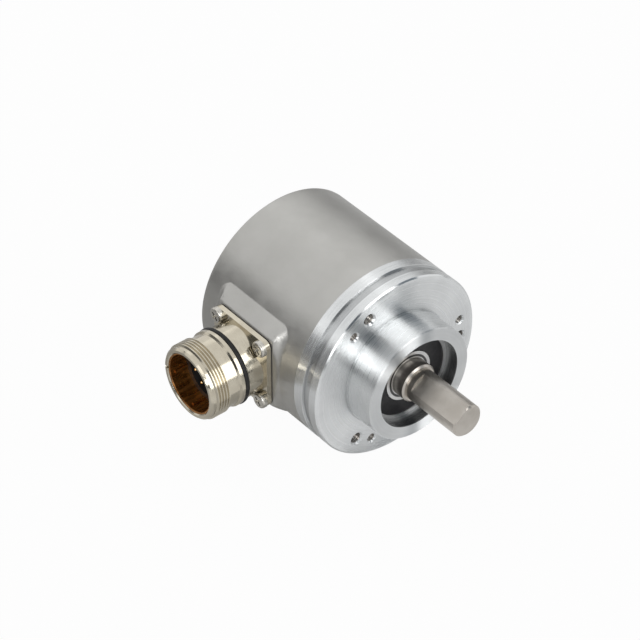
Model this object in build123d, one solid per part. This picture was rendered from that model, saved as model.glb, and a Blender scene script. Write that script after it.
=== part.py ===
from build123d import *
from math import cos, radians, sin
import os

# Incremental rotary encoder with a solid shaft, a clamping flange and a radial round connector.
# All sizes are in millimetres. The origin is the centre of the flange's mounting face.
# +X runs along the shaft and out of the device, the connector points along -Y, and +Z is up.

# Flange and its collar
flange_r = 29.0
flange_thickness = 9.25
face_chamfer = 0.4
groove_front_inset = 3.0
groove_width = 3.0
groove_depth = 0.7
groove_flank = 0.3
collar_r = 18.0
collar_length = 10.0
collar_chamfer = 0.3
root_groove_width = 0.95
root_groove_depth = 0.4
root_relief_depth = 0.15
root_relief_reach = 0.3
spigot_length = 4.5
tube_wall = 3.0

# Fixing holes in the mounting face, on one pitch circle between the collar and the rim
fixing_offset = 0.5
m4_angle = 114.3
m3_angle = 129.3
m4_core_r = 1.65
m3_core_r = 1.25
m4_mouth_r = 2.15
m3_mouth_r = 1.65
fixing_depth = 6.5

# Ball bearings, one shape used twice
bearing_bore_r = 6.0
bearing_outer_r = 14.0
bearing_setback = 4.6
ball_share = 0.5875
ball_count = 8
race_clearance = 0.06
land_height = 2.25
seal_seat_depth = 1.1
seal_lip_depth = 1.9
seal_lip_clearance = 0.12
seal_pocket_share = 0.15
seal_share = 0.1
seal_float = 0.1
cage_half_height = 0.8
cage_margin_share = 0.149
cage_open_share = 0.47
seat_shoulder = 3.0
seat_lip = 1.8
spring_space = 2.2
spring_strip = 0.4
spring_play = 0.4
spring_width = 2.0
spring_points = 16

# Shaft
shaft_r = 5.0
shaft_length = 20.0
tip_chamfer = 0.5
neck_chamfer = 0.5
flat_setback = 2.0
flat_height = 4.0
flat_angle = 37.7
shaft_collar_height = 1.2
clip_groove_depth = 0.4
clip_thickness = 1.0
clip_height = 2.0
clip_play = 0.1
clip_gap_angle = 50.0
shaft_tail = 1.9
stub_r = 4.0
stub_length = 8.2
stub_chamfer = 0.4

# Code disc and its hub
hub_wall = 3.0
hub_flange_r = 10.0
hub_tube_length = 3.8
hub_flange_thickness = 1.2
disc_thickness = 0.5
disc_play = 1.8
hub_nose_wall = 0.8
clamp_ring_r = 8.0
clamp_ring_width = 1.3
slot_count = 60
slot_margin = 1.6
slot_length = 2.8
slot_width = 0.45
grub_r = 1.2
grub_setback = 2.0
grub_recess = 0.4
grub_socket_r = 0.66

# Housing
housing_length = 41.95
housing_wall = 2.35
housing_edge = 0.8
spigot_clearance = 0.05
housing_wall_back = 2.5
post_inset = 3.65
post_r = 2.6
post_angles = (90.0, 210.0, 330.0)
countersink_r = 2.75
screw_r = 1.45
screw_clearance = 0.05
screw_reach = 6.0
post_bore_spare = 2.0
o_ring_groove_width = 2.0
o_ring_groove_depth = 1.4
o_ring_groove_inset = 1.4

# Connector boss cast on the housing
connector_setback = 21.31
boss_proud = 0.15
boss_half_x = 12.2
boss_half_z = 12.1
boss_ramp_run = 9.0
boss_ramp_rise = 6.84
boss_foot_r = 3.0
boss_corner_r = 2.2
boss_edge_r = 0.7
boss_mouth_r = 9.3

# Connector receptacle, with lengths from the rim or from the plate
gasket_thickness = 0.25
gasket_inset = 0.15
plate_half = 11.75
plate_thickness = 1.5
plate_corner_r = 2.3
plate_screw_half = 9.4
shell_length = 18.6
shell_wall = 1.7
shell_rim_width = 1.1
shell_rim_bevel = 0.3
shell_rim_round = 0.6
shell_neck_undercut = 0.05
thread_inset = 1.6
thread_pitch = 0.95
thread_count = 5
thread_height = 0.55
thread_flat = 0.3
lip_distance = 8.4
lip_height = 0.55
lip_ramp = 0.5
ring_distance = 6.4
ring_section_r = 0.8
ring_groove_half = 0.9
ring_groove_depth = 0.85
insert_r = 8.6
insert_face_depth = 6.3
insert_seat_depth = 9.0
insert_pocket_depth = 3.2
insert_pocket_r = 7.2
shell_spigot = 3.55
shell_spigot_clearance = 0.1
liner_wall = 0.4
liner_inset = 0.6
key_rib_width = 0.9
key_rib_height = 0.4
key_rib_inset = 1.4
key_rib_angles = (20.0, 95.0, 165.0, 235.0, 300.0)
rim_notch_width = 0.8
rim_notch_depth = 0.9
rim_notch_spare = 0.1
spot_face_r = 3.0
spot_face_depth = 2.6
pin_r = 0.5
pin_tip_depth = 6.5
outer_pin_count = 9
outer_pin_circle = 5.9
inner_pin_count = 3
inner_pin_circle = 2.4
inner_pin_angle = 30.0
solder_board_r = 8.0
solder_board_thickness = 1.0
solder_board_setback = 6.25
pin_tail = 0.8
plate_screw_head_r = 2.5
plate_screw_head = 1.6
plate_screw_round = 0.8
plate_screw_r = 1.2
plate_screw_length = 6.5
recess_width = 0.6
recess_length = 2.8
recess_depth = 0.8

# Electronics
board_play = 1.45
board_thickness = 1.6
sensor_board_gap = 4.7
board_floor_gap = 5.1
sensor_board_cut = 10.65
output_board_cut = 9.65
pillar_inset = 3.65
pillar_r = 2.2
pillar_angles = (0.0, 125.0, 235.0)
board_screw_head_r = 2.4
board_screw_head = 1.6
post_gap = 0.5
bracket_angle = 60.0
bracket_width = 7.0
bracket_disc_gap = 1.4
bracket_board_inset = 0.8
bracket_arm_reach = 3.4
bracket_arm_thickness = 3.0
bracket_arm_gap = 1.2
lamp_r = 1.5
lamp_setback = 0.8
lamp_face_setback = 0.9
chip_height = 1.2
chip_width = 6.0
chip_length = 7.0
reticle_thickness = 0.7
reticle_inset = 0.5
header_y = 9.0
header_inset = 13.2
header_width = 2.6
header_length = 13.0
driver_y = -2.0
driver_z = -5.0
driver_length = 8.0
regulator_y = 7.0
regulator_z = 4.5
regulator_width = 4.0
regulator_length = 5.0
crystal_y = -7.5
crystal_z = 9.5
crystal_width = 4.5
crystal_length = 9.0
crystal_height = 1.6
capacitor_r = 2.0
capacitor_height = 4.2
capacitor_places = ((9.0, -4.0), (13.0, 4.0))
ribbon_width = 9.0
ribbon_thickness = 0.3
ribbon_start = 5.0
ribbon_board_gap = 1.6
ribbon_landing = 4.0

# Proportions of the bearing that follow from its two radii
bearing_width = bearing_outer_r - bearing_bore_r
ball_r = bearing_width / 2 * ball_share
cage_margin = ball_r * cage_margin_share
seal_pocket = bearing_width * seal_pocket_share
seal_thickness = bearing_width * seal_share

# Positions along the shaft
flange_back_x = -flange_thickness
groove_front_x = -groove_front_inset
groove_back_x = groove_front_x - groove_width
neck_x = collar_length
shaft_tip_x = collar_length + shaft_length
flat_start_x = neck_x + flat_setback
front_bearing_face_x = collar_length - bearing_setback
front_bearing_x = front_bearing_face_x - bearing_width / 2
front_seat_x = front_bearing_face_x - bearing_width
back_seat_x = front_seat_x - seat_shoulder
rear_bearing_face_x = back_seat_x - spring_space
rear_bearing_x = rear_bearing_face_x - bearing_width / 2
rear_bearing_back_x = rear_bearing_face_x - bearing_width
tube_end_x = rear_bearing_back_x - clip_thickness - clip_play
shaft_back_x = tube_end_x - shaft_tail
stub_end_x = shaft_back_x - stub_length
grub_x = shaft_back_x - grub_setback
hub_flange_x = shaft_back_x - hub_tube_length
disc_x = hub_flange_x - hub_flange_thickness
disc_back_x = disc_x - disc_thickness
spigot_end_x = flange_back_x - spigot_length
groove_mid_x = flange_back_x - o_ring_groove_inset - o_ring_groove_width / 2
housing_back_x = flange_back_x - housing_length
housing_floor_x = housing_back_x + housing_wall_back
sensor_board_x = disc_back_x - sensor_board_gap
sensor_board_back_x = sensor_board_x - board_thickness
output_board_back_x = housing_floor_x + board_floor_gap
output_board_x = output_board_back_x + board_thickness
bracket_arm_back_x = disc_x + bracket_arm_gap
bracket_front_x = bracket_arm_back_x + bracket_arm_thickness
connector_x = flange_back_x - connector_setback

# Radii that follow from the ones above
fixing_pitch_r = (flange_r + collar_r) / 2 + fixing_offset
tube_r = bearing_outer_r + tube_wall
bearing_pitch_r = (bearing_bore_r + bearing_outer_r) / 2
inner_land_r = bearing_bore_r + land_height
outer_land_r = bearing_outer_r - land_height
seal_seat_r = bearing_outer_r - seal_seat_depth
seal_lip_land_r = bearing_bore_r + seal_lip_depth
cage_in_r = bearing_pitch_r - cage_half_height
cage_out_r = bearing_pitch_r + cage_half_height
seat_shoulder_r = bearing_outer_r - seat_lip
spring_out_r = bearing_outer_r - spring_play
spring_in_r = spring_out_r - spring_width
shaft_collar_r = bearing_bore_r + shaft_collar_height
clip_groove_r = bearing_bore_r - clip_groove_depth
clip_out_r = bearing_bore_r + clip_height
hub_r = stub_r + hub_wall
hub_nose_r = stub_r + hub_nose_wall
housing_bore_r = flange_r - housing_wall
spigot_r = housing_bore_r - spigot_clearance
post_pitch_r = housing_bore_r - post_inset
pillar_pitch_r = housing_bore_r - pillar_inset
board_r = housing_bore_r - board_play
header_z = header_inset - board_r
disc_r = pillar_pitch_r - pillar_r - disc_play
slot_in_r = disc_r - slot_margin - slot_length
lamp_circle = slot_in_r + slot_length / 2
bracket_web_r = disc_r + bracket_disc_gap
bracket_top_r = board_r - bracket_board_inset
bracket_arm_r = lamp_circle - bracket_arm_reach

# Positions and radii of the connector
boss_face_y = -flange_r - boss_proud
plate_back_y = boss_face_y - gasket_thickness
plate_front_y = plate_back_y - plate_thickness
shell_rim_y = plate_front_y - shell_length
shell_back_y = boss_face_y + shell_spigot
thread_start_y = shell_rim_y + thread_inset
lip_y = plate_front_y - lip_distance
ring_groove_y = plate_front_y - ring_distance
insert_face_y = shell_rim_y + insert_face_depth
insert_seat_y = shell_rim_y + insert_seat_depth
insert_floor_y = insert_face_y + insert_pocket_depth
pin_tip_y = shell_rim_y + pin_tip_depth
solder_board_y = boss_face_y + solder_board_setback
shell_bore_r = boss_mouth_r
shell_r = shell_bore_r + shell_wall
shell_rim_r = shell_bore_r + shell_rim_width
shell_neck_r = shell_r - shell_neck_undercut
thread_crest_r = shell_neck_r + thread_height
lip_r = shell_r + lip_height
ring_groove_r = shell_r - ring_groove_depth
liner_r = shell_bore_r - liner_wall
sensor_board_cut_y = boss_face_y + sensor_board_cut
output_board_cut_y = boss_face_y + output_board_cut


def turned(profile):
    """A ring or solid turned about the shaft axis from a profile of (x, radius) points."""
    outline = make_face(Polyline([(x, r) for x, r in profile], close=True))
    return revolve(outline, Axis.X, 360)


def turned_connector(profile):
    """A solid turned about the connector axis from a profile of (radius, y) points."""
    outline = make_face(Polyline([(r, y) for r, y in profile], close=True))
    return Pos(connector_x, 0, 0) * revolve(outline, Axis.Y, 360)


def along_x(radius, x_from, x_to, y=0.0, z=0.0):
    """A cylinder along the shaft direction between two x positions."""
    height = abs(x_to - x_from)
    return Pos((x_from + x_to) / 2, y, z) * Rot(0, 90, 0) * Cylinder(radius, height)


def along_y(radius, y_from, y_to, x=0.0, z=0.0):
    """A cylinder along the connector direction between two y positions."""
    height = abs(y_to - y_from)
    return Pos(x, (y_from + y_to) / 2, z) * Rot(90, 0, 0) * Cylinder(radius, height)


def block(x_range, y_range, z_range):
    """A box between two positions on each axis."""
    lengths = [abs(b - a) for a, b in (x_range, y_range, z_range)]
    middle = [(a + b) / 2 for a, b in (x_range, y_range, z_range)]
    return Pos(*middle) * Box(*lengths)


def ring_place(pitch_r, angle):
    """The y and z of a place on a circle round the shaft, its angle counted from +Y to +Z."""
    return pitch_r * cos(radians(angle)), pitch_r * sin(radians(angle))


def save(shape, name):
    """Write one named piece to its own file."""
    export_step(shape, f"parts/{name}.step")


def countersunk_cut(core_r, mouth_r, x_face, depth, y, z):
    """The cutter for a drilled hole in the mounting face with a cone at its mouth and at its end."""
    mouth = mouth_r - core_r
    profile = [
        (x_face + mouth, 0),
        (x_face + mouth, mouth_r + mouth),
        (x_face - mouth, core_r),
        (x_face - depth, core_r),
        (x_face - depth - core_r / 2, 0),
    ]
    return Pos(0, y, z) * turned(profile)


def make_flange():
    """Mounting flange with its centring collar, bearing seats and the spigot for the housing."""
    shallow_r = flange_r - groove_depth
    groove_bottom_r = spigot_r - o_ring_groove_depth
    profile = [
        (collar_length, bearing_outer_r),
        (collar_length, collar_r - collar_chamfer),
        (collar_length - collar_chamfer, collar_r),
        (root_groove_width, collar_r),
        (root_groove_width, collar_r - root_groove_depth),
        (-root_relief_depth, collar_r - root_groove_depth),
        (-root_relief_depth, collar_r + root_relief_reach - root_relief_depth),
        (0, collar_r + root_relief_reach),
        (0, flange_r - face_chamfer),
        (-face_chamfer, flange_r),
        (groove_front_x, flange_r),
        (groove_front_x - groove_flank, shallow_r),
        (groove_back_x + groove_flank, shallow_r),
        (groove_back_x, flange_r),
        (flange_back_x, flange_r),
        (flange_back_x, spigot_r),
        (groove_mid_x + o_ring_groove_width / 2, spigot_r),
        (groove_mid_x + o_ring_groove_width / 2, groove_bottom_r),
        (groove_mid_x - o_ring_groove_width / 2, groove_bottom_r),
        (groove_mid_x - o_ring_groove_width / 2, spigot_r),
        (spigot_end_x, spigot_r),
        (spigot_end_x, tube_r),
        (tube_end_x, tube_r),
        (tube_end_x, bearing_outer_r),
        (back_seat_x, bearing_outer_r),
        (back_seat_x, seat_shoulder_r),
        (front_seat_x, seat_shoulder_r),
        (front_seat_x, bearing_outer_r),
    ]
    body = turned(profile)
    for turn in range(3):
        y, z = ring_place(fixing_pitch_r, m4_angle + turn * 120)
        body -= countersunk_cut(m4_core_r, m4_mouth_r, 0, fixing_depth, y, z)
        y, z = ring_place(fixing_pitch_r, m3_angle + turn * 120)
        body -= countersunk_cut(m3_core_r, m3_mouth_r, 0, fixing_depth, y, z)
    return body


def make_shaft():
    """Stepped shaft with a milled flat outside, a collar between the bearings and a stub behind."""
    groove_back = rear_bearing_back_x - clip_thickness - clip_play
    profile = [
        (shaft_tip_x, 0),
        (shaft_tip_x, shaft_r - tip_chamfer),
        (shaft_tip_x - tip_chamfer, shaft_r),
        (neck_x, shaft_r),
        (neck_x, bearing_bore_r - neck_chamfer),
        (neck_x - neck_chamfer, bearing_bore_r),
        (front_seat_x, bearing_bore_r),
        (front_seat_x, shaft_collar_r),
        (rear_bearing_face_x, shaft_collar_r),
        (rear_bearing_face_x, bearing_bore_r),
        (rear_bearing_back_x, bearing_bore_r),
        (rear_bearing_back_x, clip_groove_r),
        (groove_back, clip_groove_r),
        (groove_back, bearing_bore_r),
        (shaft_back_x, bearing_bore_r),
        (shaft_back_x, stub_r),
        (stub_end_x + stub_chamfer, stub_r),
        (stub_end_x, stub_r - stub_chamfer),
        (stub_end_x, 0),
    ]
    body = turned(profile)
    flat_cut = block(
        (flat_start_x, shaft_tip_x + 1),
        (-shaft_r, shaft_r),
        (flat_height, shaft_r + 1),
    )
    return body - Rot(flat_angle, 0, 0) * flat_cut


def make_bearing(mid_x):
    """Outer ring, inner ring, balls, snap cage and the two seals of one deep-groove bearing."""
    half = bearing_width / 2
    race = Torus(bearing_pitch_r, ball_r + race_clearance)
    race = Rot(0, 90, 0) * race
    outer = turned([
        (half, bearing_outer_r),
        (half, seal_seat_r),
        (half - seal_pocket, seal_seat_r),
        (half - seal_pocket, outer_land_r),
        (seal_pocket - half, outer_land_r),
        (seal_pocket - half, seal_seat_r),
        (-half, seal_seat_r),
        (-half, bearing_outer_r),
    ]) - race
    inner = turned([
        (half, bearing_bore_r),
        (half, seal_lip_land_r),
        (half - seal_pocket, seal_lip_land_r),
        (half - seal_pocket, inner_land_r),
        (seal_pocket - half, inner_land_r),
        (seal_pocket - half, seal_lip_land_r),
        (-half, seal_lip_land_r),
        (-half, bearing_bore_r),
    ]) - race
    cage = turned([
        (-ball_r - cage_margin, cage_in_r),
        (-ball_r - cage_margin, cage_out_r),
        (ball_r * cage_open_share, cage_out_r),
        (ball_r * cage_open_share, cage_in_r),
    ])
    balls = []
    pocket = Pos(0, bearing_pitch_r, 0) * Rot(90, 0, 0)
    pocket *= Cylinder(ball_r + race_clearance, cage_half_height * 4)
    ball = Pos(mid_x, bearing_pitch_r, 0) * Sphere(ball_r)
    for turn in range(ball_count):
        around = Rot(turn * 360 / ball_count, 0, 0)
        cage -= around * pocket
        balls.append(around * ball)
    seal_in_r = seal_lip_land_r + seal_lip_clearance
    seal_start = half - seal_pocket + seal_float
    seals = []
    for side in (1, -1):
        seals.append(Pos(mid_x, 0, 0) * turned([
            (side * seal_start, seal_in_r),
            (side * seal_start, seal_seat_r),
            (side * (seal_start + seal_thickness), seal_seat_r),
            (side * (seal_start + seal_thickness), seal_in_r),
        ]))
    place = Pos(mid_x, 0, 0)
    return place * outer, place * inner, Compound(children=balls), place * cage, Compound(children=seals)


def make_wave_spring():
    """Two-wave spring washer that loads the rear bearing.

    A sheet bent to a parabola across Y has exactly two waves when a ring is cut from it.
    """
    middle_x = back_seat_x - spring_space / 2
    swing = (spring_space - spring_strip) / 2
    top = []
    bottom = []
    for step in range(spring_points + 1):
        y = spring_out_r * (2 * step / spring_points - 1)
        rise = swing * (2 * (y / spring_out_r) ** 2 - 1)
        top.append((middle_x + rise + spring_strip / 2, y))
        bottom.append((middle_x + rise - spring_strip / 2, y))
    upper = Spline(*top)
    lower = Spline(*bottom)
    edge_one = Line(top[0], bottom[0])
    edge_two = Line(top[-1], bottom[-1])
    sheet = extrude(make_face([upper, edge_one, lower, edge_two]), spring_out_r, both=True)
    x_range = (middle_x - spring_space, middle_x + spring_space)
    washer = along_x(spring_out_r, *x_range) - along_x(spring_in_r, *x_range)
    return washer & sheet


def make_circlip():
    """Retaining ring behind the rear bearing, open at one side."""
    back_x = rear_bearing_back_x - clip_thickness
    ring = along_x(clip_out_r, rear_bearing_back_x, back_x)
    ring -= along_x(clip_groove_r, rear_bearing_back_x, back_x)
    reach = clip_out_r * 2
    half = radians(clip_gap_angle / 2)
    wedge = Polyline([(0, 0), (reach * cos(half), reach * sin(half)),
                      (reach * cos(half), -reach * sin(half))], close=True)
    mouth = extrude(make_face(wedge), clip_thickness * 4, both=True)
    return ring - Pos(back_x, 0, 0) * Rot(0, 90, 0) * mouth


def make_hub():
    """Hub that carries the code disc on the shaft's stub."""
    tip_x = disc_back_x - clamp_ring_width
    hub = turned([
        (shaft_back_x, stub_r),
        (shaft_back_x, hub_r),
        (hub_flange_x, hub_r),
        (hub_flange_x, hub_flange_r),
        (disc_x, hub_flange_r),
        (disc_x, hub_nose_r),
        (tip_x, hub_nose_r),
        (tip_x, stub_r),
    ])
    return hub - Pos(grub_x, 0, (stub_r + hub_r) / 2) * Cylinder(grub_r, hub_r)


def make_grub_screw():
    """Set screw that locks the hub to the stub, with a hexagon socket."""
    length = hub_wall - grub_recess
    screw = Pos(grub_x, 0, stub_r + length / 2) * Cylinder(grub_r, length)
    socket = extrude(RegularPolygon(grub_socket_r, 6), length / 2)
    return screw - Pos(grub_x, 0, stub_r + length / 2) * socket


def make_code_disc():
    """Slotted code disc with an index window inside the track."""
    disc = along_x(disc_r, disc_x, disc_back_x) - along_x(hub_nose_r, disc_x, disc_back_x)
    slot_mid_r = slot_in_r + slot_length / 2
    slot = Box(disc_thickness * 3, slot_width, slot_length)
    slot = Pos((disc_x + disc_back_x) / 2, 0, slot_mid_r) * slot
    cutters = [Rot(turn * 360 / slot_count, 0, 0) * slot for turn in range(slot_count)]
    index_r = slot_in_r - slot_length / 2
    index = Pos((disc_x + disc_back_x) / 2, 0, index_r)
    cutters.append(index * Box(disc_thickness * 3, slot_width, slot_length / 2))
    return disc - cutters


def make_clamp_ring():
    """Ring that holds the code disc against the hub's flange."""
    back_x = disc_back_x - clamp_ring_width
    return along_x(clamp_ring_r, disc_back_x, back_x) - along_x(hub_nose_r, disc_back_x, back_x)


def round_boss(bar):
    """Rounds the boss where its ramps meet its flanks, then round its face."""
    corners = []
    for edge in bar.edges():
        middle = edge @ 0.5
        slanted = abs((edge % 0.5).X) < abs((edge % 0.5).Z)
        beside = abs(abs(middle.X - connector_x) - boss_half_x) < boss_foot_r
        above = abs(middle.Z) > boss_half_z
        if slanted and beside and above and middle.Y < boss_face_y + boss_ramp_run:
            corners.append(edge)
    bar = fillet(corners, boss_corner_r)
    return fillet(bar.faces().sort_by(Axis.Y)[0].edges(), boss_edge_r)


def make_boss():
    """Cast boss under the connector: ramps above and below, hollow flanks at its sides."""
    reach_x = boss_half_x + boss_foot_r
    inner_y = boss_face_y + boss_ramp_run
    outer_z = boss_half_z + boss_ramp_rise
    ramp = Polyline([
        (boss_face_y, boss_half_z),
        (inner_y, outer_z),
        (inner_y, -outer_z),
        (boss_face_y, -boss_half_z),
    ], close=True)
    bar = extrude(Plane.YZ * make_face(ramp), reach_x, both=True)
    bar = Pos(connector_x, 0, 0) * bar
    centre_r = flange_r + boss_foot_r
    clear_r = centre_r + outer_z
    for side in (1, -1):
        wall_x = connector_x + side * boss_half_x
        foot_x = connector_x + side * reach_x
        corner = Polyline([
            (foot_x, flange_r),
            (foot_x + side * boss_foot_r, flange_r),
            (foot_x + side * boss_foot_r, clear_r),
            (wall_x, clear_r),
            (wall_x, centre_r),
        ])
        hollow = RadiusArc((wall_x, centre_r), (foot_x, flange_r), side * boss_foot_r)
        bar -= revolve(make_face([corner, hollow]), Axis.X, 360)
    return round_boss(bar)


def make_housing():
    """Cast cover with the connector boss, open towards the flange."""
    shell = turned([
        (flange_back_x, 0),
        (flange_back_x, flange_r),
        (housing_back_x, flange_r),
        (housing_back_x, 0),
    ])
    shell = fillet(shell.edges().sort_by(Axis.X)[0], housing_edge)
    shell += make_boss()
    shell -= along_x(housing_bore_r, flange_back_x, housing_floor_x)
    shell -= along_y(boss_mouth_r, boss_face_y - 1, boss_face_y / 2, connector_x)
    for angle in post_angles:
        y, z = ring_place(post_pitch_r, angle)
        hole_r = screw_r + screw_clearance
        sink = countersink_r - hole_r
        shell -= Pos(0, y, z) * turned([
            (housing_back_x - 1, 0),
            (housing_back_x - 1, countersink_r + 1),
            (housing_back_x + sink, hole_r),
            (housing_floor_x + 1, hole_r),
            (housing_floor_x + 1, 0),
        ])
    for x_side in (1, -1):
        for z_side in (1, -1):
            x = connector_x + x_side * plate_screw_half
            z = z_side * plate_screw_half
            hole_end_y = plate_front_y + plate_screw_length
            shell -= along_y(plate_screw_r, boss_face_y - 1, hole_end_y, x, z)
    return shell


def cross_recess():
    """Cutter for a cross recess, centred on the origin and sunk along Z."""
    bar = Box(recess_length, recess_width, recess_depth * 2)
    return bar + Rot(0, 0, 90) * bar


def make_housing_screws():
    """Countersunk screws in the housing's back."""
    screws = []
    for angle in post_angles:
        y, z = ring_place(post_pitch_r, angle)
        sink = countersink_r - screw_r
        screw = turned([
            (housing_back_x, 0),
            (housing_back_x, countersink_r - screw_clearance),
            (housing_back_x + sink, screw_r),
            (housing_floor_x + screw_reach, screw_r),
            (housing_floor_x + screw_reach, 0),
        ])
        screw -= Pos(housing_back_x, 0, 0) * Rot(0, 90, 0) * cross_recess()
        screws.append(Pos(0, y, z) * screw)
    return Compound(children=screws)


def make_housing_posts():
    """Round posts between the flange and the housing's back, tapped for the screws."""
    posts = []
    for angle in post_angles:
        y, z = ring_place(post_pitch_r, angle)
        post = along_x(post_r, spigot_end_x, housing_floor_x, y, z)
        bore_end_x = housing_floor_x + screw_reach + post_bore_spare
        post -= along_x(screw_r + screw_clearance, housing_floor_x, bore_end_x, y, z)
        posts.append(post)
    return Compound(children=posts)


def make_housing_seal():
    """O-ring in the flange's spigot."""
    section_r = (o_ring_groove_depth + spigot_clearance) / 2
    ring = Torus(housing_bore_r - section_r, section_r)
    return Pos(groove_mid_x, 0, 0) * Rot(0, 90, 0) * ring


def shell_profile():
    """The connector shell's outline as (radius, y) points, from the rim back to the spigot."""
    points = [
        (shell_bore_r + shell_rim_bevel, shell_rim_y),
        (shell_rim_r, shell_rim_y),
        (shell_neck_r, shell_rim_y + shell_rim_round),
        (shell_neck_r, thread_start_y),
    ]
    for turn in range(thread_count):
        start = thread_start_y + turn * thread_pitch
        points.append((thread_crest_r, start + (thread_pitch - thread_flat) / 2))
        points.append((thread_crest_r, start + (thread_pitch + thread_flat) / 2))
        points.append((shell_neck_r, start + thread_pitch))
    groove_front_y = ring_groove_y - ring_groove_half
    groove_back_y = ring_groove_y + ring_groove_half
    points += [
        (shell_neck_r, lip_y - lip_ramp),
        (lip_r, lip_y),
        (lip_r, groove_front_y),
        (ring_groove_r, groove_front_y),
        (ring_groove_r, groove_back_y),
        (shell_r, groove_back_y),
        (shell_r, plate_front_y),
        (boss_mouth_r - shell_spigot_clearance, plate_front_y),
        (boss_mouth_r - shell_spigot_clearance, shell_back_y),
        (insert_r, shell_back_y),
        (insert_r, insert_seat_y),
        (shell_bore_r, insert_seat_y),
        (shell_bore_r, shell_rim_y + shell_rim_bevel),
    ]
    return points


def make_connector_shell():
    """Receptacle shell: threaded nose, seal groove and square plate with spot faces."""
    body = turned_connector(shell_profile())
    plate = Box(plate_half * 2, plate_thickness, plate_half * 2)
    plate = fillet(plate.edges().filter_by(Axis.Y), plate_corner_r)
    plate = Pos(connector_x, (plate_front_y + plate_back_y) / 2, 0) * plate
    plate -= along_y(shell_bore_r - shell_spigot_clearance, plate_front_y, plate_back_y, connector_x)
    body += plate
    body -= block(
        (connector_x - shell_r - 1, connector_x - shell_bore_r + rim_notch_spare),
        (shell_rim_y - 1, shell_rim_y + rim_notch_depth),
        (-rim_notch_width / 2, rim_notch_width / 2),
    )
    for x_side in (1, -1):
        for z_side in (1, -1):
            x = connector_x + x_side * plate_screw_half
            z = z_side * plate_screw_half
            body -= along_y(spot_face_r, plate_front_y - spot_face_depth, plate_front_y, x, z)
            body -= along_y(plate_screw_r + screw_clearance * 2, plate_front_y, plate_back_y, x, z)
    return body


def make_liner():
    """Sleeve inside the shell's mouth, with the key ribs that let a plug in one way only."""
    sleeve_top = shell_rim_y + liner_inset
    sleeve = along_y(shell_bore_r, sleeve_top, insert_seat_y, connector_x)
    sleeve -= along_y(liner_r, sleeve_top, insert_seat_y, connector_x)
    rib_top = sleeve_top + key_rib_inset
    rib_out = liner_r + liner_wall / 2
    rib_in = liner_r - key_rib_height
    for angle in key_rib_angles:
        rib = Box(rib_out - rib_in, insert_face_y - rib_top, key_rib_width)
        rib = Pos((rib_out + rib_in) / 2, (insert_face_y + rib_top) / 2, 0) * rib
        sleeve += Pos(connector_x, 0, 0) * Rot(0, angle, 0) * rib
    return sleeve


def pin_places():
    """The x and z of each contact pin from the connector axis."""
    places = []
    for turn in range(outer_pin_count):
        places.append(ring_place(outer_pin_circle, 360 / outer_pin_count * turn))
    for turn in range(inner_pin_count):
        angle = inner_pin_angle + 360 / inner_pin_count * turn
        places.append(ring_place(inner_pin_circle, angle))
    return places


def make_contact_pins():
    """Male contact pins with rounded tips."""
    tail_y = solder_board_y + solder_board_thickness + pin_tail
    pins = []
    for x, z in pin_places():
        pin = along_y(pin_r, pin_tip_y + pin_r, tail_y, connector_x + x, z)
        pin += Pos(connector_x + x, pin_tip_y + pin_r, z) * Sphere(pin_r)
        pins.append(pin)
    return Compound(children=pins)


def make_insert():
    """Moulded insulator that carries the pins, with a raised rim round them."""
    body = turned_connector([
        (0, insert_floor_y),
        (insert_pocket_r, insert_floor_y),
        (insert_pocket_r, insert_face_y),
        (liner_r, insert_face_y),
        (liner_r, insert_seat_y),
        (insert_r, insert_seat_y),
        (insert_r, solder_board_y),
        (0, solder_board_y),
    ])
    for x, z in pin_places():
        body -= along_y(pin_r, insert_face_y - 1, solder_board_y, connector_x + x, z)
    return body


def make_solder_board():
    """Small round board soldered on the pins behind the insert."""
    end_y = solder_board_y + solder_board_thickness
    board = along_y(solder_board_r, solder_board_y, end_y, connector_x)
    for x, z in pin_places():
        board -= along_y(pin_r, solder_board_y, end_y, connector_x + x, z)
    return board


def make_connector_ring():
    """O-ring behind the connector thread."""
    ring = Torus(ring_groove_r + ring_section_r, ring_section_r)
    return Pos(connector_x, ring_groove_y, 0) * Rot(90, 0, 0) * ring


def make_gasket():
    """Flat gasket between the plate and the boss."""
    width = (plate_half - gasket_inset) * 2
    gasket = Box(width, gasket_thickness, width)
    gasket = fillet(gasket.edges().filter_by(Axis.Y), plate_corner_r)
    gasket = Pos(connector_x, (plate_back_y + boss_face_y) / 2, 0) * gasket
    gasket -= along_y(boss_mouth_r, plate_back_y, boss_face_y, connector_x)
    for x_side in (1, -1):
        for z_side in (1, -1):
            x = connector_x + x_side * plate_screw_half
            z = z_side * plate_screw_half
            gasket -= along_y(plate_screw_r + screw_clearance * 2, plate_back_y, boss_face_y, x, z)
    return gasket


def make_plate_screws():
    """Pan-head screws with a cross recess at the plate's corners."""
    screws = []
    for x_side in (1, -1):
        for z_side in (1, -1):
            head = Cylinder(plate_screw_head_r, plate_screw_head)
            head = fillet(head.edges().sort_by(Axis.Z)[-1], plate_screw_round)
            head -= Pos(0, 0, plate_screw_head / 2) * Rot(0, 0, 45) * cross_recess()
            head = Rot(90, 0, 0) * head
            screw = Pos(0, plate_front_y - plate_screw_head / 2, 0) * head
            screw += along_y(plate_screw_r, plate_front_y, plate_front_y + plate_screw_length)
            x = connector_x + x_side * plate_screw_half
            screws.append(Pos(x, 0, z_side * plate_screw_half) * screw)
    return Compound(children=screws)


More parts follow.
